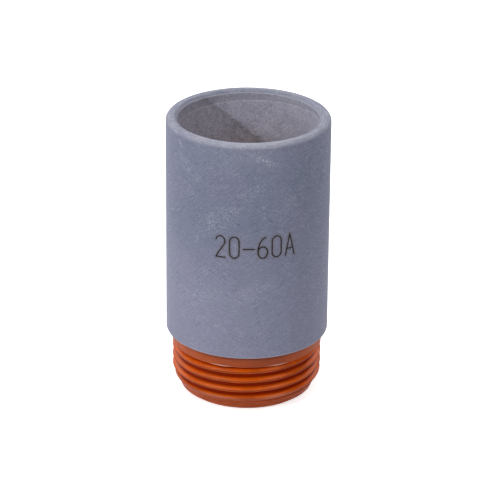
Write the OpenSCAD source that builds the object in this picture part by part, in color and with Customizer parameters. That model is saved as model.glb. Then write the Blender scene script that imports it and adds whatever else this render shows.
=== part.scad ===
// Retaining cap of a hand plasma torch.
// Origin at the centre of the nose's end face, +Z up the axis towards the mouth.

/* [Sleeve] */
// Outside diameter of the composite sleeve
sleeve_d = 30; // [26:0.1:40]
// Length of the sleeve
sleeve_len = 41.7; // [36:0.01:60]
// Wall of the sleeve at the mouth
sleeve_wall = 2.05; // [1.6:0.05:3]
// How much deeper than the mouth the socket for the nose is cut into the wall
socket_step = 0.5; // [0.3:0.05:0.8]
// Radius of the rim's outer edge
rim_round = 0.65; // [0.2:0.05:0.9]
// How far the mouth's chamfer reaches into the rim
mouth_bevel_w = 0.44; // [0.1:0.01:0.6]
// How far the mouth's chamfer reaches down the bore
mouth_bevel_h = 0.62; // [0.2:0.01:1.5]

/* [Nose] */
// Length of the nose that stands out of the sleeve
nose_len = 11.82; // [10.5:0.01:16]
// How far the sleeve stands out over the plain collar below it
collar_step = 1.08; // [0.5:0.01:1.4]
// Length of the plain collar
collar_len = 2.32; // [1.5:0.01:4]
// How far the thread's crests stand out over the plain pilot land at the nose's end
pilot_step = 1.5; // [1.2:0.01:1.8]
// Length of the pilot land
pilot_len = 1; // [0.7:0.05:2]
// How far the bevel of the pilot land's lower edge reaches across the nose's end
pilot_bevel_w = 0.9; // [0.3:0.05:1.1]
// How far that bevel reaches up the pilot land
pilot_bevel_h = 0.63; // [0.2:0.01:0.65]
// Wall of the nose at the pilot land
pilot_wall = 1.59; // [1.3:0.01:2.2]
// Length of the spigot that goes up inside the sleeve
spigot_len = 8.5; // [5:0.1:12]
// Chamfer at the end of the nose's bore
nose_bore_bevel = 0.2; // [0.1:0.05:0.4]

/* [Shield thread] */
// How far the collar stands out over the thread's crests
crest_step = 0.08; // [0.01:0.01:0.3]
// Pitch of the thread
thread_pitch = 1.86; // [1.6:0.01:2.2]
// Width of the flat on the thread's crest
crest_w = 0.4; // [0.2:0.01:0.5]
// Width of the flat at the thread's root
root_w = 0.27; // [0.2:0.01:0.5]
// Angle of the thread's flanks from the plane across the axis
flank_angle = 30; // [27:1:32]
// Angle between the axis and the lead-in cone, which rises from the pilot land and cuts the thread's first turn
lead_in_angle = 32.5; // [25:0.5:40]
// Direction, from +X, in which the ridge rises out of the lead-in cone
thread_start_dir = 297; // [0:1:359]

/* [Liner] */
// Width of the ledge at which the mouth narrows to the liner's seat
liner_ledge = 0.2; // [0.1:0.05:0.4]
// Depth of the liner's top face below the rim
liner_depth = 12; // [8:0.1:16]
// Wall of the liner at the thread that takes the torch head
torch_wall = 1.4; // [1:0.1:2]
// Length of the thread that takes the torch head
torch_thread_len = 12; // [8:0.5:16]
// Wall of the liner round the chamber for the nozzle and swirl ring
chamber_wall = 1.4; // [1:0.1:2]
// Width of the seat that holds the nozzle's flange
seat_w = 2.6; // [2:0.1:4]
// Thickness of the nozzle seat
seat_t = 2; // [1.2:0.1:3]
// How far the nozzle seat lies above the nose's end face
seat_recess = 1.2; // [0.5:0.1:3]
// Chamfer at the liner's top edge
liner_bevel = 0.4; // [0.2:0.1:0.8]
// Number of shield gas holes through the seat
gas_hole_count = 10; // [6:1:12]
// Diameter of a shield gas hole
gas_hole_d = 1.1; // [0.8:0.1:1.3]

/* [Fits] */
// Radial gap between pressed pieces
fit_gap = 0.05; // [0.03:0.01:0.1]

/* [Hidden] */
$fn = 96;
facets_per_turn = 48;

// Heights along the axis
rim_z = nose_len + sleeve_len;
spigot_z = nose_len + spigot_len;
collar_z = nose_len - collar_len;
liner_top_z = rim_z - liner_depth;
thread_floor_z = liner_top_z - torch_thread_len;
seat_top_z = seat_recess + seat_t;

// Depth of the thread: what the flats leave of the pitch, split between two flanks
thread_depth = (thread_pitch - crest_w - root_w) / (2 * tan(flank_angle));

// Radii of the sleeve
sleeve_r = sleeve_d / 2;
mouth_r = sleeve_r - sleeve_wall;
socket_r = mouth_r + socket_step;
liner_seat_r = mouth_r - liner_ledge;

// Radii of the nose
collar_r = sleeve_r - collar_step;
spigot_r = socket_r - fit_gap;
crest_r = collar_r - crest_step;
root_r = crest_r - thread_depth;
pilot_r = crest_r - pilot_step;
nose_bore_r = pilot_r - pilot_wall;

// Radii of the liner
liner_top_r = liner_seat_r - fit_gap;
torch_bore_r = liner_top_r - torch_wall;
liner_tube_r = nose_bore_r - fit_gap;
chamber_r = liner_tube_r - chamber_wall;
seat_bore_r = chamber_r - seat_w;
gas_ring_r = (seat_bore_r + chamber_r) / 2;

// Rise of the flank and of the lead-in cone for each unit of radius, and the cone's height at a radius
flank_rise = tan(flank_angle);
cone_rise = 1 / tan(lead_in_angle);
function cone_z(r) = pilot_len + (r - pilot_r) * cone_rise;

// The ridge's foot is sunk a little into the root, and its turns stay clear of each other there.
// It rises out of the root where the cone ends and runs on up inside the collar.
ridge_sink = 0.12;
ridge_lip = 0.03;
foot_r = root_r - ridge_sink;
ridge_half_base = crest_w / 2 + (thread_depth + ridge_sink) * flank_rise;
lip_r = root_r + ridge_lip;
ridge_first_z = cone_z(lip_r + ridge_lip) + (lip_r + ridge_lip - foot_r) * flank_rise - ridge_half_base;
ridge_turns = (collar_z + ridge_sink + ridge_half_base - ridge_first_z) / thread_pitch;
ridge_steps = ceil(ridge_turns * facets_per_turn);

// Section of the sleeve: liner seat, mouth and its chamfer, flat rim, rounded outer edge, square lower edge, socket
module sleeve_section() {
    difference() {
        polygon([
            [liner_seat_r, spigot_z],
            [liner_seat_r, liner_top_z],
            [mouth_r, liner_top_z],
            [mouth_r, rim_z - mouth_bevel_h],
            [mouth_r + mouth_bevel_w, rim_z],
            [sleeve_r, rim_z],
            [sleeve_r, nose_len],
            [socket_r, nose_len],
            [socket_r, spigot_z]
        ]);
        translate([sleeve_r - rim_round, rim_z - rim_round])
            difference() {
                square(2 * rim_round);
                circle(rim_round);
            }
    }
}

module outer_sleeve() {
    color([0.50, 0.52, 0.60])
        rotate_extrude()
            sleeve_section();
}

// Section of the nose without its thread: bevelled pilot land, foot of the cone, root of the thread, collar, spigot
module nose_section() {
    polygon([
        [nose_bore_r + nose_bore_bevel, 0],
        [pilot_r - pilot_bevel_w, 0],
        [pilot_r, pilot_bevel_h],
        [pilot_r, pilot_len],
        [root_r, cone_z(root_r)],
        [root_r, collar_z],
        [collar_r, collar_z],
        [collar_r, nose_len],
        [spigot_r, nose_len],
        [spigot_r, spigot_z],
        [nose_bore_r, spigot_z],
        [nose_bore_r, nose_bore_bevel]
    ]);
}

// Four corners of the ridge's section at step i. Where the cone cuts the section,
// low_r and high_r are the radii at which it crosses the lower and the upper flank.
function ridge_corners(i) =
    let (
        turn = i / facets_per_turn,
        a = thread_start_dir + 360 * turn,
        z = ridge_first_z + thread_pitch * turn,
        low_r = max(lip_r, (z - ridge_half_base - foot_r * flank_rise - cone_z(0)) / (cone_rise - flank_rise)),
        high_r = max(lip_r + ridge_lip, (z + ridge_half_base + foot_r * flank_rise - cone_z(0)) / (cone_rise + flank_rise)),
        corners = [
            [foot_r, max(z - ridge_half_base, cone_z(lip_r))],
            low_r < crest_r ? [low_r, cone_z(low_r)] : [crest_r, z - crest_w / 2],
            high_r < crest_r ? [high_r, cone_z(high_r)] : [crest_r, z + crest_w / 2],
            [foot_r, z + ridge_half_base]
        ]
    )
    [for (c = corners) [c[0] * cos(a), c[0] * sin(a), c[1]]];

// The ridge of the thread: one section swept up a right-hand helix
module ridge() {
    points = [for (i = [0 : ridge_steps]) each ridge_corners(i)];
    sides = [for (i = [0 : ridge_steps - 1]) for (k = [0 : 3])
        let (a = 4 * i + k, b = 4 * i + (k + 1) % 4)
        each [[a, b, b + 4], [a, b + 4, a + 4]]];
    last = 4 * ridge_steps;
    ends = [[3, 2, 1, 0], [last, last + 1, last + 2, last + 3]];
    polyhedron(points, concat(sides, ends));
}

module shield_thread_nose() {
    color([0.72, 0.32, 0.14])
        union() {
            rotate_extrude()
                nose_section();
            ridge();
        }
}

// Section of the liner: nozzle seat, chamber, shoulder on the nose's spigot, torch bore
module liner_section() {
    polygon([
        [seat_bore_r, seat_recess],
        [liner_tube_r, seat_recess],
        [liner_tube_r, spigot_z],
        [liner_top_r, spigot_z],
        [liner_top_r, liner_top_z],
        [torch_bore_r + liner_bevel, liner_top_z],
        [torch_bore_r, liner_top_z - liner_bevel],
        [torch_bore_r, thread_floor_z],
        [chamber_r, thread_floor_z],
        [chamber_r, seat_top_z],
        [seat_bore_r, seat_top_z]
    ]);
}

module torch_thread_liner() {
    color([0.80, 0.62, 0.30])
        difference() {
            rotate_extrude()
                liner_section();
            for (k = [0 : gas_hole_count - 1])
                rotate(360 * k / gas_hole_count)
                    translate([gas_ring_r, 0, seat_recess - 1])
                        cylinder(h = seat_t + 2, d = gas_hole_d, $fn = 24);
        }
}

outer_sleeve();
shield_thread_nose();
torch_thread_liner();
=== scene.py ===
"""Looks of a plasma torch retaining cap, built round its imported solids.

Lengths are in metres, and in millimetres inside the materials.
"""

import functools
import math

import bmesh
import bpy
import numpy as np
from mathutils import Matrix, Vector


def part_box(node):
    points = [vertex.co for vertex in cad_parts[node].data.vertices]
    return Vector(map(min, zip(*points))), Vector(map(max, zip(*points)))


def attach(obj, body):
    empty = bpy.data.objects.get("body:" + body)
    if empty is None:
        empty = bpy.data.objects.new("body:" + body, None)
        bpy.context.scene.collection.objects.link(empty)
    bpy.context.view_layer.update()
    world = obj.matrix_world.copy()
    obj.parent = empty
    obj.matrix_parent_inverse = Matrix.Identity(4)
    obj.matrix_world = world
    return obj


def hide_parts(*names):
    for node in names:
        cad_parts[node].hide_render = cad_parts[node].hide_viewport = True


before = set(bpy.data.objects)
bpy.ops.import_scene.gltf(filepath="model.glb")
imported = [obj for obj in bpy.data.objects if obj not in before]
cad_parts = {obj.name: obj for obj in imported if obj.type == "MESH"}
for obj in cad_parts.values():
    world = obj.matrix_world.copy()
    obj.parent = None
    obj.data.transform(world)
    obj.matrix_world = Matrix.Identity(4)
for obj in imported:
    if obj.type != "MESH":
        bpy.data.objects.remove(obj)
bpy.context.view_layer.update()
MM = 0.001

# Outer sleeve
# A tube of fibre-filled composite, turned to size inside and out and left matte, which insulates
# the cap. The nose is pressed up into its socket. The rim and the outer wall are scuffed.
SLEEVE_WALL = 2.05 * MM
SOCKET_STEP = 0.5 * MM
LINER_LEDGE = 0.2 * MM
MOUTH_BEVEL_W = 0.44 * MM
MOUTH_BEVEL_H = 0.62 * MM
RIM_ROUND = 0.85 * MM
BEVEL_ROUND = 0.1 * MM
SOCKET_ROUND = 0.12 * MM
LOWER_ROUND = 0.28 * MM
sleeve_low, sleeve_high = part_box("outer_sleeve")
SLEEVE_R = (sleeve_high.x - sleeve_low.x) / 2
RIM_Z = sleeve_high.z
SLEEVE_Z = sleeve_low.z
MOUTH_R = SLEEVE_R - SLEEVE_WALL
SOCKET_R = MOUTH_R + SOCKET_STEP
LINER_SEAT_R = MOUTH_R - LINER_LEDGE
LINER_TOP_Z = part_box("torch_thread_liner")[1].z
SOCKET_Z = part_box("shield_thread_nose")[1].z
ARC_STEP = math.radians(12)
MERGE = 0.001 * MM


def rounded(corners, closed):
    """Outline through corners (r, z, round), each round one replaced by an arc."""
    outline = []
    last = len(corners) - 1
    for k, (r, z, size) in enumerate(corners):
        here = Vector((r, z))
        if size == 0 or (not closed and k in (0, last)):
            outline.append(here)
            continue
        before = (Vector(corners[k - 1][:2]) - here).normalized()
        after = (Vector(corners[(k + 1) % len(corners)][:2]) - here).normalized()
        half = before.angle(after) / 2
        reach = size / math.tan(half)
        centre = here + (before + after).normalized() * size / math.sin(half)
        start = here + before * reach - centre
        sweep = math.pi - 2 * half
        turn = 1 if before.x * after.y - before.y * after.x < 0 else -1
        steps = max(3, round(sweep / ARC_STEP))
        for i in range(steps + 1):
            a = turn * sweep * i / steps
            outline.append(centre + Matrix.Rotation(a, 2) @ start)
    return outline


def turned(outline, directions, closed):
    """Bmesh of an outline (r, z) turned round the Z axis, with a column of points per direction."""
    form = bmesh.new()
    rings = [
        [form.verts.new((p.x * math.cos(a), p.x * math.sin(a), p.y)) for a in directions]
        for p in outline
    ]
    columns = len(directions)
    for k in range(len(rings) if closed else len(rings) - 1):
        lower, upper = rings[k], rings[(k + 1) % len(rings)]
        for i in range(columns):
            j = (i + 1) % columns
            form.faces.new((lower[i], lower[j], upper[j], upper[i]))
    return form


def closed_mesh(form, name):
    """Mesh from a bmesh, with doubles merged and faces turned outwards. The bmesh is used up."""
    bmesh.ops.remove_doubles(form, verts=form.verts, dist=MERGE)
    bmesh.ops.recalc_face_normals(form, faces=form.faces)
    mesh = bpy.data.meshes.new(name)
    form.to_mesh(mesh)
    form.free()
    return mesh


def finished(form, name, material, sharp=40):
    """Object from a bmesh, smooth but for the edges that are sharper than this many degrees."""
    mesh = closed_mesh(form, name)
    mesh.materials.append(material)
    mesh.shade_smooth()
    mesh.set_sharp_from_angle(angle=math.radians(sharp))
    piece = bpy.data.objects.new(name, mesh)
    bpy.context.scene.collection.objects.link(piece)
    return piece


# The current range is engraved on the front by a laser, in single strokes. A letter's points are
# given in shares of its width and height, and BOWL is the height of half a round part.
FRONT = math.radians(270)
MARK_Z = 31.87 * MM
MARK_H = 4.1 * MM
MARK_START = -5.79 * MM
MARK_MARGIN = 1.2 * MM
LETTER_W = 1.72 * MM
LETTER_STEP = 2.57 * MM
STROKE_HALF = 0.12 * MM
STROKE_DEPTH = 0.04 * MM
STROKE_FADE = 1.4  # where the cut ends, in half strokes from the middle
BOWL = 0.23
SIX_BOWL = 0.27
AMP_W = 1.05


def arc(cx, cy, rx, ry, start, end, steps=12):
    """Points on part of an ellipse, between two angles in degrees."""
    turns = [math.radians(start + (end - start) * i / steps) for i in range(steps + 1)]
    return [(cx + rx * math.cos(t), cy + ry * math.sin(t)) for t in turns]


TWO = [arc(0.5, 1 - BOWL, 0.5, BOWL, 165, -30) + [(0.0, 0.0), (1.0, 0.0)]]
ZERO = [
    arc(0.5, 1 - BOWL, 0.5, BOWL, 0, 180)
    + arc(0.5, BOWL, 0.5, BOWL, 180, 360)
    + [(1.0, 1 - BOWL)]
]
DASH = [[(-0.05, 0.44), (1.08, 0.44)]]
SIX = [
    arc(0.5, SIX_BOWL, 0.5, SIX_BOWL, 0, 360, 24),
    [(0.0, SIX_BOWL)] + arc(0.95, 0.3, 0.95, 0.7, 180, 100, 10),
]
AMP = [[(0.0, 0.0), (0.5, 1.0), (AMP_W, 0.0)], [(0.17, 0.32), (0.88, 0.32)]]
MARK = [TWO, ZERO, DASH, SIX, ZERO, AMP]


def strokes_of(letters):
    """Straight pieces of the engraving, as ends (along the girth, up) in metres."""
    pieces = []
    for k, letter in enumerate(letters):
        left = MARK_START + k * LETTER_STEP
        for line in letter:
            spots = [(left + x * LETTER_W, MARK_Z + y * MARK_H) for x, y in line]
            pieces += list(zip(spots[:-1], spots[1:]))
    return np.array(pieces)


def distance_to(strokes, spots):
    """Distance of each spot from the nearest stroke."""
    nearest = np.full(len(spots), 1.0)
    for start, end in strokes:
        along = end - start
        share = np.clip((spots - start) @ along / (along @ along), 0, 1)
        gap = np.linalg.norm(spots - start - share[:, None] * along, axis=1)
        nearest = np.minimum(nearest, gap)
    return nearest


# The sleeve's columns and rows of points lie close together where the engraving is
FINE = 0.075 * MM
COARSE_COLUMNS = 200
girth = 2 * math.pi * SLEEVE_R
fine_from = MARK_START - MARK_MARGIN
fine_to = MARK_START + (len(MARK) - 1) * LETTER_STEP + AMP_W * LETTER_W + MARK_MARGIN
fine_columns = round((fine_to - fine_from) / FINE)
along_girth = [fine_from + (fine_to - fine_from) * i / fine_columns for i in range(fine_columns)]
along_girth += [
    fine_to + (girth - fine_to + fine_from) * i / COARSE_COLUMNS for i in range(COARSE_COLUMNS)
]
sleeve_directions = [FRONT + along / SLEEVE_R for along in along_girth]

sleeve_outline = rounded(
    [
        (SLEEVE_R, SLEEVE_Z, LOWER_ROUND),
        (SLEEVE_R, RIM_Z, RIM_ROUND),
        (MOUTH_R + MOUTH_BEVEL_W, RIM_Z, BEVEL_ROUND),
        (MOUTH_R, RIM_Z - MOUTH_BEVEL_H, BEVEL_ROUND),
        (MOUTH_R, LINER_TOP_Z, 0),
        (LINER_SEAT_R, LINER_TOP_Z, 0),
        (LINER_SEAT_R, SOCKET_Z, 0),
        (SOCKET_R, SOCKET_Z, 0),
        (SOCKET_R, SLEEVE_Z, SOCKET_ROUND),
    ],
    closed=True,
)
band_low = MARK_Z - MARK_MARGIN
band_h = MARK_H + 2 * MARK_MARGIN
band_rows = round(band_h / FINE)
wall_start = next(k for k, p in enumerate(sleeve_outline) if abs(p.x - SLEEVE_R) < 1e-9)
sleeve_outline[wall_start + 1 : wall_start + 1] = [
    Vector((SLEEVE_R, band_low + band_h * i / band_rows)) for i in range(band_rows + 1)
]

# The engraving cuts the wall, and an attribute keeps each point's distance from it for the looks
sleeve_form = turned(sleeve_outline, sleeve_directions, closed=True)
engraving = sleeve_form.verts.layers.float.new("engraving")
wall_points = [v for v in sleeve_form.verts if abs(v.co.xy.length - SLEEVE_R) < 1e-7]
unrolled = np.array(
    [
        (((math.atan2(v.co.y, v.co.x) - FRONT + math.pi) % math.tau - math.pi) * SLEEVE_R, v.co.z)
        for v in wall_points
    ]
)
for v in sleeve_form.verts:
    v[engraving] = 1.0
for v, gap in zip(wall_points, distance_to(strokes_of(MARK), unrolled)):
    v[engraving] = min(gap / MM, 1.0)
    cut = min(max(STROKE_FADE - gap / STROKE_HALF, 0.0), 1.0)
    v.co.xy *= 1 - cut * STROKE_DEPTH / SLEEVE_R


def feed(tree, socket, value):
    """Links a socket to another one, or sets it to a number, a vector or a colour."""
    if isinstance(value, bpy.types.NodeSocket):
        tree.links.new(value, socket)
    else:
        socket.default_value = value


def added(tree, kind, feeds=None, **settings):
    """A new node with its settings, and with inputs fed by name or number."""
    made = tree.nodes.new(kind)
    for name, value in settings.items():
        setattr(made, name, value)
    for key, value in (feeds or {}).items():
        feed(tree, made.inputs[key], value)
    return made


def math_node(tree, operation, a, b=0.0, c=0.0):
    """Output of a Math node. a, b and c are numbers or sockets."""
    return added(tree, "ShaderNodeMath", {0: a, 1: b, 2: c}, operation=operation).outputs[0]


def step_between(tree, value, nought, one):
    """0 on the side of nought and 1 on the side of one, with a soft step between."""
    feeds = {0: value, 1: nought, 2: one}
    return added(tree, "ShaderNodeMapRange", feeds, interpolation_type="SMOOTHSTEP").outputs[0]


def near(tree, value, middle, reach):
    """1 where a value is at the middle, falling to 0 at this reach on both sides."""
    away = math_node(tree, "ABSOLUTE", math_node(tree, "SUBTRACT", value, middle))
    return step_between(tree, away, reach, 0.0)


def both(tree, *shares):
    """Product of shares, each a number or a socket."""
    return functools.reduce(lambda a, b: math_node(tree, "MULTIPLY", a, b), shares)


def srgb(red, green, blue):
    """Linear colour of an sRGB colour given in 0 to 255."""
    return tuple(
        c / 255 / 12.92 if c <= 10 else ((c / 255 + 0.055) / 1.055) ** 2.4
        for c in (red, green, blue)
    ) + (1.0,)


def painted(tree, under, tone, *shares):
    """A colour with a tone, in sRGB from 0 to 255, laid over it by a product of shares."""
    feeds = {0: both(tree, *shares), 6: under, 7: srgb(*tone)}
    return added(tree, "ShaderNodeMix", feeds, data_type="RGBA").outputs[2]


def speckled(tree, under, pattern, pale, dark, *shares, start=0.0):
    """A colour with a pale tone where a pattern is above a half, and a dark one where it is below.

    pale and dark are (tone, strength, how far from a half it is full), and both begin at start.
    """
    for side, (tone, strength, full) in ((1, pale), (-1, dark)):
        share = step_between(tree, pattern, 0.5 + side * start, 0.5 + side * full)
        under = painted(tree, under, tone, *shares, share, strength)
    return under


def noise(tree, vector, scale, detail=2.0, roughness=0.5):
    """Noise with its scale in features per millimetre."""
    feeds = {"Vector": vector, "Scale": scale, "Detail": detail, "Roughness": roughness}
    return added(tree, "ShaderNodeTexNoise", feeds).outputs[0]


def laid(tree, vector, size, turn=0.0, place=(0.0, 0.0, 0.0)):
    """Coordinates of a pattern whose unit has this size and place, turned in degrees about Z."""
    rotation = (0.0, 0.0, math.radians(turn))
    feeds = {"Vector": vector, "Location": place, "Rotation": rotation, "Scale": size}
    return added(tree, "ShaderNodeMapping", feeds, vector_type="TEXTURE").outputs[0]


def drawn_out(tree, vector, size, turn=0.0, detail=2):
    """Noise whose features have this size, turned in degrees about Z."""
    return noise(tree, laid(tree, vector, size, turn), 1.0, detail)


def new_material(name):
    """Material with its tree, its Principled shader and its Object coordinates in millimetres."""
    material = bpy.data.materials.new(name)
    material.use_nodes = True
    tree = material.node_tree
    place = added(tree, "ShaderNodeTexCoord").outputs["Object"]
    feeds = {0: place, "Scale": 1 / MM}
    at = added(tree, "ShaderNodeVectorMath", feeds, operation="SCALE").outputs[0]
    return material, tree, tree.nodes["Principled BSDF"], at


def round_axis(tree, at):
    """X, Y, height, distance from the axis, and direction from the front (left is negative)."""
    x, y, height = added(tree, "ShaderNodeSeparateXYZ", {0: at}).outputs
    y_squared = math_node(tree, "MULTIPLY", y, y)
    radius = math_node(tree, "SQRT", math_node(tree, "MULTIPLY_ADD", x, x, y_squared))
    from_front = math_node(tree, "ARCTAN2", x, math_node(tree, "MULTIPLY", y, -1.0))
    return x, y, height, radius, from_front


def dress(tree, shader, looks, relief, strength, depth):
    """Feeds a shader its looks by name, and a bump from a relief."""
    feeds = {"Strength": strength, "Distance": depth, "Height": relief}
    bump = added(tree, "ShaderNodeBump", feeds).outputs[0]
    for name, value in {**looks, "Normal": bump}.items():
        feed(tree, shader.inputs[name], value)


# Places on the sleeve: heights and radii in millimetres, the direction from the front and from the
# back in radians, and the wall unrolled, which has its seam at the back
rim_at, foot_at, bore_at, wall_at = (p / MM for p in (RIM_Z, SLEEVE_Z, MOUTH_R, SLEEVE_R))
composite, tree, shader, at = new_material("sleeve_composite")
x, y, height, radius, from_front = round_axis(tree, at)
from_back = math_node(tree, "ARCTAN2", x, y)
along = math_node(tree, "MULTIPLY", from_front, wall_at)
unrolled_wall = added(tree, "ShaderNodeCombineXYZ", {0: along, 1: height, 2: radius}).outputs[0]
away_from_seam = step_between(tree, math_node(tree, "ABSOLUTE", from_front), 3.1, 2.9)
in_bore = step_between(tree, radius, bore_at + 0.15, bore_at + 0.02)

# Body colour: the turned outside is blue-grey, in places more violet, with painted light that makes
# it paler towards its foot, low left of the front and at the front below the rim, and the bore is
# painted paler and more neutral, as painted light inside it
tint = step_between(tree, noise(tree, at, 0.13, 3), 0.42, 0.62)
colour = painted(tree, srgb(121, 127, 149), (134, 133, 158), tint, 0.4)
# Painted light: paler towards the foot
painted_light_low = step_between(tree, height, 42.0, 18.0)
colour = painted(tree, colour, (155, 153, 178), painted_light_low, 0.36)
# Painted light: paler low on the left of the front
painted_light_low_left = both(tree, near(tree, from_front, -0.5, 1.1), step_between(tree, height, 38.0, 22.0))
colour = painted(tree, colour, (162, 161, 185), painted_light_low_left, 0.26)
# Painted light: paler at the front below the rim
painted_light_under_rim = both(tree, near(tree, from_front, -0.12, 0.8), step_between(tree, height, 46.0, 52.0))
colour = painted(tree, colour, (166, 167, 184), painted_light_under_rim, 0.22)
# Painted light: the bore is painted paler and more neutral
colour = painted(tree, colour, (177, 178, 199), in_bore)

# Grain of the fibre filler, in three sizes, with faint hairlines left by handling in two slants
grain = 0.5
for scale, strength in ((4.6, 0.98), (1.9, 0.3), (0.7, 0.12)):
    grain = math_node(tree, "MULTIPLY_ADD", noise(tree, at, scale, 2, 0.6), strength, grain)
    grain = math_node(tree, "SUBTRACT", grain, strength / 2)
for turn, strength in ((34, 0.8), (-28, 0.8)):
    hairs = math_node(
        tree, "SUBTRACT", drawn_out(tree, unrolled_wall, (2.6, 0.15, 1.0), turn), 0.5
    )
    elsewhere = laid(tree, at, (1.0, 1.0, 1.0), place=(turn, 0.0, 0.0))
    handled = step_between(tree, noise(tree, elsewhere, 0.14, 2), 0.35, 0.6)
    hairs = both(tree, hairs, away_from_seam, handled)
    grain = math_node(tree, "MULTIPLY_ADD", hairs, strength, grain)
colour = speckled(tree, colour, grain, ((180, 186, 210), 0.8, 0.5), ((66, 70, 90), 0.8, 0.5))
pale_specks = step_between(tree, noise(tree, at, 3.4, 2), 0.62, 0.74)
colour = painted(tree, colour, (190, 193, 208), pale_specks, 0.2)

# Scuffs: short pale scratches and dots in worn places, each given by its middle along the girth
# from the front and its height, its half length and half width, its slant and its strength. They
# reach so deep that their distance from the axis makes no difference
ANY_DEPTH = 100.0
dots = step_between(tree, noise(tree, at, 3.2, 3), 0.53, 0.66)
for middle, up, half_length, half_width, turn, strength in (
    (2.9, 50.6, 3.6, 1.1, -25, 0.75),
    (-13.9, 51.4, 1.6, 0.5, -50, 0.8),
    (-10.8, 43.5, 2.0, 0.5, -45, 0.7),
    (-5.6, 38.8, 6.4, 3.2, 33, 0.45),
    (-2.0, 41.2, 2.2, 0.7, 30, 0.5),
    (2.6, 41.6, 1.6, 0.6, 35, 0.6),
    (-9.5, 34.5, 2.4, 1.0, 40, 0.45),
    (10.6, 36.8, 0.7, 0.3, 20, 0.5),
    (0.6, 44.6, 5.5, 2.4, 36, 0.3),
    # Partly a scuff and partly a painted highlight, on the front of the rim
    (-3.8, 53.2, 1.4, 0.35, 3, 0.8),
    (-5.1, 18.1, 1.3, 0.5, 8, 0.75),
    (-12.0, 47.6, 5.5, 2.0, -38, 0.4),
    (8.6, 42.6, 6.0, 1.6, 48, 0.3),
    (1.5, 25.0, 6.5, 2.6, 24, 0.35),
    (-8.0, 23.5, 5.5, 2.2, 20, 0.3),
    (27.0, 40.0, 6.0, 2.2, 40, 0.4),
    (-30.0, 30.0, 7.0, 2.4, -35, 0.35),
    (38.0, 24.0, 5.0, 2.0, 30, 0.45),
):
    size = (half_length, half_width, ANY_DEPTH)
    spot = laid(tree, unrolled_wall, size, turn, (middle, up, wall_at))
    away = added(tree, "ShaderNodeVectorMath", {0: spot}, operation="LENGTH").outputs["Value"]
    worn = step_between(tree, away, 1.0, 0.2)
    lines = step_between(tree, drawn_out(tree, unrolled_wall, (1.3, 0.16, 1.0), turn), 0.56, 0.7)
    marks = math_node(tree, "MAXIMUM", both(tree, dots, 0.7), lines)
    colour = painted(tree, colour, (206, 211, 226), worn, marks, strength)

# The rim is rubbed a little paler in patches, is painted paler at the front as a painted highlight,
# and has fine turned lines
on_rim = step_between(tree, height, rim_at - 0.9, rim_at - 0.2)
rubbed = step_between(tree, noise(tree, at, 0.5, 3), 0.35, 0.7)
rubbed = math_node(tree, "MULTIPLY_ADD", rubbed, 0.3, 0.35)
colour = painted(tree, colour, (154, 154, 166), on_rim, rubbed)
# Painted highlight on the front of the rim
colour = painted(tree, colour, (188, 188, 202), on_rim, near(tree, from_front, 0.0, 1.3), 0.3)
rim_lines = drawn_out(tree, unrolled_wall, (2.5, 0.13, 0.13))
pale, dark = ((204, 204, 214), 0.32, 0.2), ((104, 104, 120), 0.45, 0.2)
colour = speckled(tree, colour, rim_lines, pale, dark, on_rim, start=0.04)
pale, dark = ((212, 212, 222), 0.3, 0.22), ((92, 94, 110), 0.4, 0.22)
colour = speckled(tree, colour, noise(tree, at, 4.2, 3, 0.7), pale, dark, on_rim)

# The lower edge is painted pale on the outside, a painted highlight
lower_edge_highlight = step_between(tree, height, foot_at + 0.45, foot_at + 0.1)
outside = math_node(tree, "SUBTRACT", 1.0, in_bore)
colour = painted(tree, colour, (196, 184, 196), lower_edge_highlight, outside, 0.4)

# Bore: cloudy swirls and a rough grain, a darker band above a thin tool line that climbs round
# below the rim, and a painted highlight along the chamfer's edge
swirls = noise(tree, at, 0.42, 4, 0.6)
pale, dark = ((200, 200, 212), 0.24, 0.22), ((126, 124, 136), 0.24, 0.2)
colour = speckled(tree, colour, swirls, pale, dark, in_bore)
finer = math_node(tree, "MULTIPLY", noise(tree, at, 5.0, 2, 0.6), 0.6)
rough_bore = math_node(tree, "MULTIPLY_ADD", noise(tree, at, 2.0, 2, 0.6), 0.4, finer)
pale, dark = ((228, 227, 238), 0.5, 0.18), ((110, 110, 124), 0.6, 0.18)
colour = speckled(tree, colour, rough_bore, pale, dark, in_bore)
under_rim = math_node(tree, "SUBTRACT", height, rim_at)
tool_line = math_node(
    tree, "MULTIPLY_ADD", from_back, -0.34, math_node(tree, "ADD", under_rim, 2.1)
)
above_line = step_between(tree, tool_line, 0.0, 0.2)
colour = painted(tree, colour, (112, 116, 130), in_bore, above_line, 0.27)
broken = step_between(tree, noise(tree, at, 0.9, 3), 0.3, 0.6)
on_line = near(tree, tool_line, 0.0, 0.2)
colour = painted(tree, colour, (216, 216, 226), in_bore, on_line, broken, 0.6)
# Painted highlight: a pale line along the chamfer's lower edge
chamfer_edge_highlight = near(tree, under_rim, -MOUTH_BEVEL_H / MM, 0.12)
near_bore = step_between(tree, radius, bore_at + 0.35, bore_at + 0.15)
colour = painted(tree, colour, (204, 204, 214), near_bore, chamfer_edge_highlight, broken, 0.3)

# Bore: a darker streak of painted shade that slants down to the right at the back, along the edge
# of the rim's shadow, brown dirt below it, and scratches
shadow_edge = math_node(tree, "SUBTRACT", height, 45.85)
shadow_edge = math_node(tree, "MULTIPLY_ADD", from_back, 10.9, shadow_edge)
shadow_edge = math_node(tree, "SUBTRACT", shadow_edge, 2.0)
shadow_edge = math_node(tree, "MULTIPLY_ADD", noise(tree, at, 0.8, 5, 0.75), 4.0, shadow_edge)
below_shadow_edge = step_between(tree, shadow_edge, 0.5, -1.5)
dirt = step_between(tree, noise(tree, at, 1.0, 4, 0.7), 0.4, 0.64)
colour = painted(tree, colour, (124, 119, 127), in_bore, below_shadow_edge, dirt, 0.45)
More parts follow.
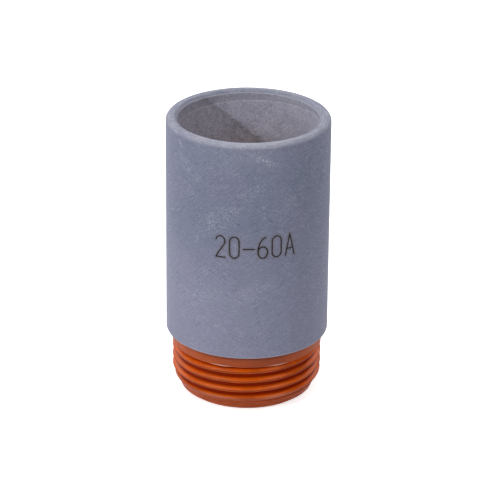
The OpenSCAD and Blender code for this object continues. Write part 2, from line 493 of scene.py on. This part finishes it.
# Painted shade along the edge of the rim's shadow
on_shadow_edge = near(tree, shadow_edge, -0.7, 1.2)
at_back = step_between(tree, from_back, 0.6, 0.4)
colour = painted(tree, colour, (90, 86, 96), in_bore, on_shadow_edge, at_back, 0.34)
grit = noise(tree, at, 3.3, 3, 0.75)
pale, dark = ((204, 200, 210), 0.5, 0.2), ((80, 76, 86), 0.5, 0.2)
colour = speckled(tree, colour, grit, pale, dark, in_bore, below_shadow_edge)
for turn in (12, 70, -40):
    scratches = drawn_out(tree, unrolled_wall, (2.4, 0.15, 1.0), turn)
    scratches = step_between(tree, scratches, 0.58, 0.74)
    colour = painted(tree, colour, (214, 212, 220), in_bore, scratches, 0.5)

# Burnt strokes of the engraving, with ragged edges, in a faint brown halo
stroke = added(tree, "ShaderNodeAttribute", attribute_name="engraving").outputs["Fac"]
ragged = math_node(tree, "MULTIPLY_ADD", noise(tree, at, 5.0, 2), 0.12, stroke)
sooty = step_between(tree, noise(tree, at, 2.4, 3), 0.3, 0.6)
colour = painted(tree, colour, (108, 92, 86), step_between(tree, ragged, 0.72, 0.15), sooty, 0.6)
colour = painted(tree, colour, (14, 10, 10), step_between(tree, ragged, 0.22, 0.15), 0.98)
looks = {"Base Color": colour, "Roughness": 0.6, "Specular IOR Level": 0.25}
dress(tree, shader, looks, grain, 0.5, 0.02 * MM)

sleeve = finished(sleeve_form, "sleeve_of_composite", composite, sharp=50)
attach(sleeve, "root")
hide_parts("outer_sleeve")

# Shield thread nose
# A turned ring of orange-brown, heat-proof plastic. Its spigot is pressed up into the sleeve, its
# collar stops below it, and the shield screws onto its right-hand thread and slides over its land.
COLLAR_STEP = 1.08 * MM
COLLAR_LEN = 2.32 * MM
CREST_STEP = 0.08 * MM
PILOT_STEP = 1.5 * MM
PILOT_LEN = 1.0 * MM
PILOT_BEVEL_W = 0.9 * MM
PILOT_BEVEL_H = 0.63 * MM
PILOT_WALL = 1.59 * MM
BORE_BEVEL = 0.2 * MM
FIT_GAP = 0.05 * MM
COLLAR_ROUND = 0.12 * MM
LAND_ROUND = 0.2 * MM
SLIGHT_ROUND = 0.05 * MM
THREAD_PITCH = 1.86 * MM
CREST_W = 0.28 * MM
ROOT_W = 0.39 * MM
THREAD_ROUND = 0.42 * MM
FLANK = math.radians(30)
LEAD_IN = math.radians(32.5)
FRONT_CREST_Z = 2.84 * MM  # the lowest crest at the front
NOSE_COLUMNS = 320
SEAM = math.radians(90)
nose_low, nose_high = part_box("shield_thread_nose")
NOSE_Z = nose_low.z
LAND_Z = NOSE_Z + PILOT_LEN
COLLAR_Z = SLEEVE_Z - COLLAR_LEN
COLLAR_R = SLEEVE_R - COLLAR_STEP
CREST_R = COLLAR_R - CREST_STEP
PILOT_R = CREST_R - PILOT_STEP
NOSE_BORE_R = PILOT_R - PILOT_WALL
SPIGOT_R = SOCKET_R - FIT_GAP
ROOT_R = CREST_R - (THREAD_PITCH - CREST_W - ROOT_W) / (2 * math.tan(FLANK))


def geometry_tree(title, *inputs):
    """Geometry Nodes tree and its named inputs, declared as (kind, names)."""
    tree = bpy.data.node_groups.new(title, "GeometryNodeTree")
    tree.interface.new_socket("Geometry", in_out="OUTPUT", socket_type="NodeSocketGeometry")
    for kind, names in inputs:
        for name in names:
            tree.interface.new_socket(name, in_out="INPUT", socket_type="NodeSocket" + kind)
    return tree, added(tree, "NodeGroupInput").outputs


def end_tree(tree, geometry, material):
    """Ends a tree with its geometry made real and given a material."""
    real = added(tree, "GeometryNodeRealizeInstances", {0: geometry}).outputs[0]
    feeds = {"Geometry": real, "Material": material}
    coated = added(tree, "GeometryNodeSetMaterial", feeds)
    added(tree, "NodeGroupOutput", {0: coated.outputs[0]})


def thread_tree():
    """Geometry Nodes tree of a screw thread: a band of rings that climb one pitch in each turn."""
    tree, given = geometry_tree(
        "screw thread",
        ("Int", ("Columns", "Steps per pitch")),
        ("Float", ("Pitch", "Crest radius", "Root radius", "Crest width", "Flank slope")),
        ("Float", ("Rounding", "Low end", "High end", "Land radius at low end")),
        ("Float", ("Land radius at high end", "Lead-in slope", "Crest height at seam")),
        ("Float", ("Seam direction",)),
        ("Material", ("Material",)),
    )
    calc = functools.partial(math_node, tree)
    pitch, low, high = given["Pitch"], given["Low end"], given["High end"]
    crest_r, root_r, rounding = given["Crest radius"], given["Root radius"], given["Rounding"]
    low_r, high_r = given["Land radius at low end"], given["Land radius at high end"]

    # A flat grid, one unit wide, whose X becomes the turn and whose Y becomes the ring
    ring_step = calc("DIVIDE", pitch, given["Steps per pitch"])
    turns = calc("CEIL", calc("DIVIDE", calc("SUBTRACT", high, low), pitch))
    ring_gaps = calc("MULTIPLY_ADD", calc("ADD", turns, 1.0), given["Steps per pitch"], 2.0)
    feeds = {
        "Size X": 1.0,
        "Size Y": 1.0,
        "Vertices X": calc("ADD", given["Columns"], 1.0),
        "Vertices Y": calc("ADD", ring_gaps, 1.0),
    }
    grid = added(tree, "GeometryNodeMeshGrid", feeds).outputs["Mesh"]
    place = added(tree, "GeometryNodeInputPosition").outputs[0]
    split = added(tree, "ShaderNodeSeparateXYZ", {0: place}).outputs
    turn = calc("ADD", split[0], 0.5)
    ring = calc("MULTIPLY", calc("ADD", split[1], 0.5), ring_gaps)

    # Height: rings climb with the turn and are cut off at both ends
    climb = calc("MULTIPLY", turn, pitch)
    first = calc("SUBTRACT", calc("SUBTRACT", low, pitch), ring_step)
    raw = calc("ADD", calc("MULTIPLY_ADD", ring, ring_step, first), climb)
    z = calc("MINIMUM", calc("MAXIMUM", raw, low), high)

    # Radius: crest flat, straight flanks and root flat, with rounded corners
    from_crest = calc("SUBTRACT", calc("SUBTRACT", z, climb), given["Crest height at seam"])
    half_pitch = calc("MULTIPLY", pitch, 0.5)
    wrapped = calc("WRAP", from_crest, half_pitch, calc("MULTIPLY", half_pitch, -1.0))
    half_crest = calc("MULTIPLY", given["Crest width"], 0.5)
    beyond = calc("SUBTRACT", calc("ABSOLUTE", wrapped), half_crest)
    span = calc("SUBTRACT", crest_r, root_r)
    depth = calc("ABSOLUTE", span)
    flank = calc("SUBTRACT", depth, calc("MULTIPLY", beyond, given["Flank slope"]))
    under_crest = calc("SMOOTH_MIN", flank, depth, rounding)
    ridge = calc("DIVIDE", calc("SMOOTH_MAX", under_crest, 0.0, rounding), depth)
    thread_r = calc("MULTIPLY_ADD", span, ridge, root_r)

    # A lead-in cone rises from the land at the low end and cuts the first turn
    cone = calc("MULTIPLY_ADD", calc("SUBTRACT", z, low), given["Lead-in slope"], low_r)
    thread_r = calc("SMOOTH_MIN", thread_r, cone, rounding)

    # The first and last rings are the edges of the plain lands that the thread meets
    at_low = calc("LESS_THAN", ring, 0.5)
    at_high = calc("GREATER_THAN", ring, calc("SUBTRACT", ring_gaps, 0.5))
    to_low = calc("MULTIPLY", calc("SUBTRACT", low_r, thread_r), at_low)
    to_high = calc("MULTIPLY", calc("SUBTRACT", high_r, thread_r), at_high)
    r = calc("ADD", calc("ADD", thread_r, to_low), to_high)

    direction = calc("MULTIPLY_ADD", turn, math.tau, given["Seam direction"])
    feeds = {
        0: calc("MULTIPLY", r, calc("COSINE", direction)),
        1: calc("MULTIPLY", r, calc("SINE", direction)),
        2: z,
    }
    spot = added(tree, "ShaderNodeCombineXYZ", feeds).outputs[0]
    moved = added(tree, "GeometryNodeSetPosition", {"Geometry": grid, "Position": spot})
    feeds = {0: moved.outputs[0], "Distance": MERGE}
    merged = added(tree, "GeometryNodeMergeByDistance", feeds)
    end_tree(tree, merged.outputs[0], given["Material"])
    return tree


def made_by(tree, values, start=None):
    """Plain mesh that a Geometry Nodes tree makes with named inputs, from a mesh or from none."""
    carrier = bpy.data.objects.new("carrier", start or bpy.data.meshes.new("carrier"))
    bpy.context.scene.collection.objects.link(carrier)
    modifier = carrier.modifiers.new("tree", "NODES")
    modifier.node_group = tree
    for item in tree.interface.items_tree:
        if item.item_type == "SOCKET" and item.in_out == "INPUT" and item.name in values:
            modifier[item.identifier] = values[item.name]
    evaluated = carrier.evaluated_get(bpy.context.evaluated_depsgraph_get())
    mesh = bpy.data.meshes.new_from_object(evaluated)
    carrier.modifiers.remove(modifier)
    bpy.data.objects.remove(carrier)
    return mesh


def joined(form, mesh):
    """Adds a mesh to a bmesh whose edge loops meet it. The mesh is used up."""
    form.from_mesh(mesh)
    bpy.data.meshes.remove(mesh)
    return form


def evenly_round(columns):
    """Directions of evenly spaced columns, the first at the seam."""
    return [SEAM + math.tau * i / columns for i in range(columns)]


# Places on the nose: radii and heights in millimetres
crest_at, root_at, collar_r_at = (r / MM for r in (CREST_R, ROOT_R, COLLAR_R))
land_at, collar_at = LAND_Z / MM, COLLAR_Z / MM
plastic, tree, shader, at = new_material("nose_plastic")
*_, height, radius, from_front = round_axis(tree, at)

# The thread's flanks are smooth and deep orange, with painted shade that darkens them towards the
# root
in_shaded_root = step_between(tree, radius, root_at + 0.6, root_at + 0.08)
colour = painted(tree, srgb(240, 108, 10), (140, 34, 0), in_shaded_root)

# Collar, crests, cone and land are turned, matt and dusty. The land is painted paler as painted
# light from below, and the crests browner
past_land = math_node(tree, "SUBTRACT", radius, PILOT_R / MM)
cone_top = math_node(tree, "MULTIPLY", past_land, 1 / math.tan(LEAD_IN))
above_land = math_node(tree, "SUBTRACT", height, land_at)
above_cone = math_node(tree, "SUBTRACT", above_land, cone_top)
on_crest = step_between(tree, radius, crest_at - 0.1, crest_at - 0.03)
on_cone = step_between(tree, above_cone, 0.5, 0.15)
on_land = step_between(tree, height, land_at + 0.05, land_at - 0.05)
turned_face = math_node(tree, "MAXIMUM", on_crest, on_cone)
turned_face = math_node(tree, "MAXIMUM", turned_face, on_land)
colour = painted(tree, colour, (184, 86, 42), turned_face)
# Painted light: the land is paler
colour = painted(tree, colour, (204, 100, 54), on_land, 0.5)
thread_only = step_between(tree, height, collar_at, collar_at - 0.1)
colour = painted(tree, colour, (136, 56, 22), on_crest, thread_only, 0.5)
blotches = step_between(tree, noise(tree, at, 0.35, 3), 0.35, 0.7)
colour = painted(tree, colour, (134, 50, 20), blotches, 0.25)
dust = noise(tree, at, 4.6, 3, 0.6)
pale, dark = ((222, 150, 122), 0.3, 0.3), ((92, 40, 26), 0.35, 0.3)
colour = speckled(tree, colour, dust, pale, dark, turned_face)

# Painted shade darkens the collar in the corner under the sleeve, and the front of the collar is
# darker
# Painted shade in the corner under the sleeve
shade_under_sleeve = step_between(tree, height, foot_at - 1.25, foot_at - 0.3)
colour = painted(tree, colour, (86, 44, 33), shade_under_sleeve, 0.65)
on_collar = step_between(tree, height, collar_at - 0.1, collar_at)
darker_front = near(tree, from_front, 0.25, 0.8)
colour = painted(tree, colour, (120, 54, 34), on_collar, darker_front, 0.35)


def glint_sides(*sides):
    """1 in two directions from the front, each falling to 0 at its reach, both in degrees."""
    shares = [near(tree, from_front, *map(math.radians, side)) for side in sides]
    return math_node(tree, "MAXIMUM", *shares)


# Painted highlights: glints on the collar's lower edge, and paler lines on the upper half of the
# flanks, both at two sides of the front
# Painted highlight: glints on the collar's lower edge at two sides
edge_r = step_between(tree, radius, collar_r_at - 0.13, collar_r_at - 0.1)
edge = both(tree, edge_r, near(tree, height, collar_at + 0.1, 0.12))
colour = painted(tree, colour, (255, 228, 212), edge, glint_sides((-20, 11), (24, 11)), 0.95)
# Painted highlight: paler lines on the upper flanks at two sides
flank_glint_band = near(tree, radius, root_at + 0.74, 0.24)
flank_glint_sides = glint_sides((-24, 24), (24, 18))
colour = painted(tree, colour, (240, 170, 140), flank_glint_band, flank_glint_sides, thread_only, 0.3)

# Turned faces are rougher than the flanks, and the roots reflect least
turning = drawn_out(tree, at, (20.0, 20.0, 0.14), detail=3)
roughness = math_node(tree, "MULTIPLY_ADD", turning, 0.1, 0.3)
roughness = math_node(tree, "MULTIPLY_ADD", turned_face, 0.14, roughness)
deep_root = both(tree, in_shaded_root, math_node(tree, "SUBTRACT", 1.0, turned_face))
looks = {
    "Base Color": colour,
    "Roughness": roughness,
    "Specular IOR Level": math_node(tree, "MULTIPLY_ADD", deep_root, -0.12, 0.17),
}
relief = math_node(tree, "ADD", turning, both(tree, dust, turned_face))
dress(tree, shader, looks, relief, 0.35, 0.01 * MM)

nose_outline = rounded(
    [
        (PILOT_R, LAND_Z, 0),
        (PILOT_R, NOSE_Z + PILOT_BEVEL_H, LAND_ROUND),
        (PILOT_R - PILOT_BEVEL_W, NOSE_Z, LAND_ROUND),
        (NOSE_BORE_R + BORE_BEVEL, NOSE_Z, SLIGHT_ROUND),
        (NOSE_BORE_R, NOSE_Z + BORE_BEVEL, SLIGHT_ROUND),
        (NOSE_BORE_R, nose_high.z, 0),
        (SPIGOT_R, nose_high.z, 0),
        (SPIGOT_R, SLEEVE_Z, 0),
        (COLLAR_R, SLEEVE_Z, SLIGHT_ROUND),
        (COLLAR_R, COLLAR_Z, COLLAR_ROUND),
        (COLLAR_R - COLLAR_ROUND, COLLAR_Z, 0),
    ],
    closed=False,
)
screw = thread_tree()
shield_thread = made_by(
    screw,
    {
        "Columns": NOSE_COLUMNS,
        "Steps per pitch": 36,
        "Pitch": THREAD_PITCH,
        "Crest radius": CREST_R,
        "Root radius": ROOT_R,
        "Crest width": CREST_W,
        "Flank slope": 1 / math.tan(FLANK),
        "Rounding": THREAD_ROUND,
        "Low end": LAND_Z,
        "High end": COLLAR_Z,
        "Land radius at low end": PILOT_R,
        "Land radius at high end": COLLAR_R - COLLAR_ROUND,
        "Lead-in slope": math.tan(LEAD_IN),
        "Crest height at seam": FRONT_CREST_Z - THREAD_PITCH / 2,
        "Seam direction": SEAM,
        "Material": plastic,
    },
)
nose_body = turned(nose_outline, evenly_round(NOSE_COLUMNS), closed=False)
nose = finished(joined(nose_body, shield_thread), "threaded_nose", plastic)
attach(nose, "root")
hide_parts("shield_thread_nose")

# Torch thread liner
# A turned brass tube pressed inside sleeve and nose. The torch head screws into its upper end, and
# its lower end holds the nozzle on a seat with a ring of drilled gas holes.
TORCH_WALL = 1.4 * MM
TORCH_SOCKET_LEN = 12 * MM
TORCH_PITCH = 1.27 * MM
TORCH_THREAD_DEPTH = 0.6 * MM
TORCH_CREST_W = 0.3 * MM
TORCH_THREAD_ROUND = 0.06 * MM
TORCH_RUNOUT = 1.5 * MM
TORCH_LEAD = 0.4 * MM
NO_CONE = 1000.0  # so steep that the lead-in cone cuts nothing
CHAMBER_WALL = 1.4 * MM
SEAT_W = 2.6 * MM
SEAT_T = 2 * MM
LINER_BEVEL = 0.4 * MM
INNER_ROUND = 0.1 * MM
OUTER_ROUND = 0.15 * MM
GAS_HOLES = 10
GAS_HOLE_R = 0.55 * MM
DRILL_LEN = 4 * MM
LINER_COLUMNS = 240
liner_low, liner_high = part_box("torch_thread_liner")
LINER_R = (liner_high.x - liner_low.x) / 2
TUBE_R = NOSE_BORE_R - FIT_GAP
TORCH_R = LINER_R - TORCH_WALL
TORCH_ROOT_R = TORCH_R + TORCH_THREAD_DEPTH
CHAMBER_R = TUBE_R - CHAMBER_WALL
SEAT_R = CHAMBER_R - SEAT_W
SEAT_TOP_Z = liner_low.z + SEAT_T
THREAD_FLOOR_Z = liner_high.z - TORCH_SOCKET_LEN
TORCH_THREAD_LOW = THREAD_FLOOR_Z + TORCH_RUNOUT
TORCH_THREAD_HIGH = liner_high.z - LINER_BEVEL - TORCH_LEAD

brass, tree, shader, at = new_material("liner_brass")
stain = step_between(tree, noise(tree, at, 0.4, 3), 0.4, 0.72)
rings = drawn_out(tree, at, (33.0, 33.0, 0.11), detail=3)
looks = {
    "Base Color": painted(tree, srgb(205, 165, 92), (150, 110, 62), stain, 0.4),
    "Metallic": 1.0,
    "Roughness": math_node(tree, "MULTIPLY_ADD", rings, 0.2, 0.22),
}
dress(tree, shader, looks, rings, 0.4, 0.01 * MM)


def drilled_tree():
    """Geometry Nodes tree that drills a ring of equal holes through a turned piece."""
    tree, given = geometry_tree(
        "ring of holes",
        ("Geometry", ("Geometry",)),
        ("Int", ("Holes",)),
        ("Float", ("Ring radius", "Hole radius", "Drill length", "Drill height")),
        ("Material", ("Material",)),
    )
    feeds = {"Vertices": given["Holes"], "Radius": given["Ring radius"]}
    circle = added(tree, "GeometryNodeMeshCircle", feeds).outputs["Mesh"]
    feeds = {"Vertices": 32, "Radius": given["Hole radius"], "Depth": given["Drill length"]}
    drill = added(tree, "GeometryNodeMeshCylinder", feeds).outputs["Mesh"]
    lift = added(tree, "ShaderNodeCombineXYZ", {2: given["Drill height"]}).outputs[0]
    feeds = {"Geometry": drill, "Translation": lift}
    lifted = added(tree, "GeometryNodeTransform", feeds).outputs[0]
    feeds = {"Points": circle, "Instance": lifted}
    repeated = added(tree, "GeometryNodeInstanceOnPoints", feeds).outputs[0]
    drills = added(tree, "GeometryNodeRealizeInstances", {0: repeated}).outputs[0]
    cut = added(tree, "GeometryNodeMeshBoolean", operation="DIFFERENCE", solver="EXACT")
    feed(tree, cut.inputs["Mesh 1"], given["Geometry"])
    feed(tree, cut.inputs["Mesh 2"], drills)
    end_tree(tree, cut.outputs["Mesh"], given["Material"])
    return tree


liner_outline = rounded(
    [
        (TORCH_ROOT_R, TORCH_THREAD_LOW, 0),
        (TORCH_ROOT_R, THREAD_FLOOR_Z, INNER_ROUND),
        (CHAMBER_R, THREAD_FLOOR_Z, INNER_ROUND),
        (CHAMBER_R, SEAT_TOP_Z, INNER_ROUND),
        (SEAT_R, SEAT_TOP_Z, INNER_ROUND),
        (SEAT_R, liner_low.z, INNER_ROUND),
        (TUBE_R, liner_low.z, OUTER_ROUND),
        (TUBE_R, SOCKET_Z, 0),
        (LINER_R, SOCKET_Z, 0),
        (LINER_R, liner_high.z, OUTER_ROUND),
        (TORCH_R + LINER_BEVEL, liner_high.z, SLIGHT_ROUND),
        (TORCH_R, liner_high.z - LINER_BEVEL, SLIGHT_ROUND),
        (TORCH_R, TORCH_THREAD_HIGH, 0),
    ],
    closed=False,
)
torch_thread = made_by(
    screw,
    {
        "Columns": LINER_COLUMNS,
        "Steps per pitch": 12,
        "Pitch": TORCH_PITCH,
        "Crest radius": TORCH_R,
        "Root radius": TORCH_ROOT_R,
        "Crest width": TORCH_CREST_W,
        "Flank slope": 1 / math.tan(FLANK),
        "Rounding": TORCH_THREAD_ROUND,
        "Low end": TORCH_THREAD_LOW,
        "High end": TORCH_THREAD_HIGH,
        "Land radius at low end": TORCH_ROOT_R,
        "Land radius at high end": TORCH_R,
        "Lead-in slope": NO_CONE,
        "Crest height at seam": TORCH_THREAD_LOW,
        "Seam direction": SEAM,
        "Material": brass,
    },
)
liner_body = turned(liner_outline, evenly_round(LINER_COLUMNS), closed=False)
liner_blank = closed_mesh(joined(liner_body, torch_thread), "liner blank")
drilled = made_by(
    drilled_tree(),
    {
        "Holes": GAS_HOLES,
        "Ring radius": (SEAT_R + CHAMBER_R) / 2,
        "Hole radius": GAS_HOLE_R,
        "Drill length": DRILL_LEN,
        "Drill height": (liner_low.z + SEAT_TOP_Z) / 2,
        "Material": brass,
    },
    liner_blank,
)
liner = finished(joined(bmesh.new(), drilled), "brass_liner", brass)
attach(liner, "root")
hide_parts("torch_thread_liner")

# Studio
# A white floor that keeps the cap's shadow, a small key light on the left, wide soft lights round
# and above the cap, and a long lens that looks down at it a little.
FLOOR_HALF = 3.0
floor_mesh = bpy.data.meshes.new("floor")
floor_mesh.from_pydata(
    [(FLOOR_HALF * x, FLOOR_HALF * y, 0) for x, y in ((-1, -1), (1, -1), (1, 1), (-1, 1))],
    [],
    [(0, 1, 2, 3)],
)
floor = bpy.data.objects.new("floor", floor_mesh)
bpy.context.scene.collection.objects.link(floor)

# The floor is seen as pure white, and glows less for what mirrors it
paper = bpy.data.materials.new("white paper")
paper.use_nodes = True
tree = paper.node_tree
tree.nodes.clear()
rays = added(tree, "ShaderNodeLightPath").outputs
seen = math_node(tree, "MULTIPLY", rays["Is Camera Ray"], 0.72)
mirrored = math_node(tree, "MAXIMUM", rays["Is Glossy Ray"], rays["Is Transmission Ray"])
mirrored = math_node(tree, "MULTIPLY", mirrored, 0.3)
glow = added(tree, "ShaderNodeEmission", {"Strength": math_node(tree, "MAXIMUM", seen, mirrored)})
white = added(tree, "ShaderNodeBsdfDiffuse", {"Color": (0.9, 0.9, 0.9, 1)})
lit = added(tree, "ShaderNodeAddShader", {0: white.outputs[0], 1: glow.outputs[0]})
added(tree, "ShaderNodeOutputMaterial", {"Surface": lit.outputs[0]})
floor_mesh.materials.append(paper)

# The backdrop is white for the camera and in mirrors, and gives no light of its own
world = bpy.data.worlds.new("studio")
bpy.context.scene.world = world
world.use_nodes = True
tree = world.node_tree
tree.nodes.clear()
rays = added(tree, "ShaderNodeLightPath").outputs
seen = math_node(tree, "MAXIMUM", rays["Is Camera Ray"], rays["Is Glossy Ray"])
seen = math_node(tree, "MAXIMUM", seen, rays["Is Transmission Ray"])
sky = added(tree, "ShaderNodeBackground", {"Color": (1, 1, 1, 1), "Strength": seen})
added(tree, "ShaderNodeOutputWorld", {"Surface": sky.outputs[0]})

LIGHT_DISTANCE = 0.6
MIDDLE = Vector((0, 0, 0.03))


def towards(above):
    """Direction of the front, this many degrees above the table."""
    return Vector((0, -math.cos(math.radians(above)), math.sin(math.radians(above))))


def soft_light(name, around, above, size, power):
    """A square area light that points at the middle of the cap."""
    away = Matrix.Rotation(math.radians(around), 3, "Z") @ towards(above)
    light = bpy.data.lights.new(name, "AREA")
    light.size = size
    light.energy = power
    holder = bpy.data.objects.new(name, light)
    holder.location = MIDDLE + away * LIGHT_DISTANCE
    holder.rotation_euler = (-away).to_track_quat("-Z", "Y").to_euler()
    bpy.context.scene.collection.objects.link(holder)


# Each light by its name, its direction from the front (left is negative) and above the table in
# degrees, its width in metres and its power
for light in (
    ("key light", -50, 25, 0.09, 0.94),
    ("left light", -95, 15, 0.3, 0.79),
    ("front right fill", 25, 35, 0.3, 0.64),
    ("right light", 56, 22, 0.08, 0.15),
    ("top light", 0, 86, 0.3, 1.95),
    ("back left light", -140, 35, 0.3, 0.8),
    ("back right light", 140, 35, 0.3, 0.7),
):
    soft_light(*light)

# The photo's camera, fitted to the cap's ellipses: angles in degrees, focal length and shift in
# pixels of a picture that is 500 pixels wide
ELEVATION = 24.101
ROLL = 0.503
DISTANCE = 501.08 * MM
TARGET = Vector((0, 0, 26.874 * MM))
PICTURE = 500
FOCAL = 2715.25
SHIFT = 2.547
lens = bpy.data.cameras.new("long lens")
lens.sensor_width = 36
lens.lens = FOCAL / PICTURE * lens.sensor_width
lens.shift_x = SHIFT / PICTURE
lens.clip_start = 0.01
lens.clip_end = 20
camera = bpy.data.objects.new("camera", lens)
back = towards(ELEVATION)
camera.matrix_world = (
    Matrix.Translation(TARGET + back * DISTANCE)
    @ (-back).to_track_quat("-Z", "Y").to_matrix().to_4x4()
    @ Matrix.Rotation(math.radians(ROLL), 4, "Z")
)
bpy.context.scene.collection.objects.link(camera)
bpy.context.scene.camera = camera
bpy.context.scene.view_settings.view_transform = "Standard"
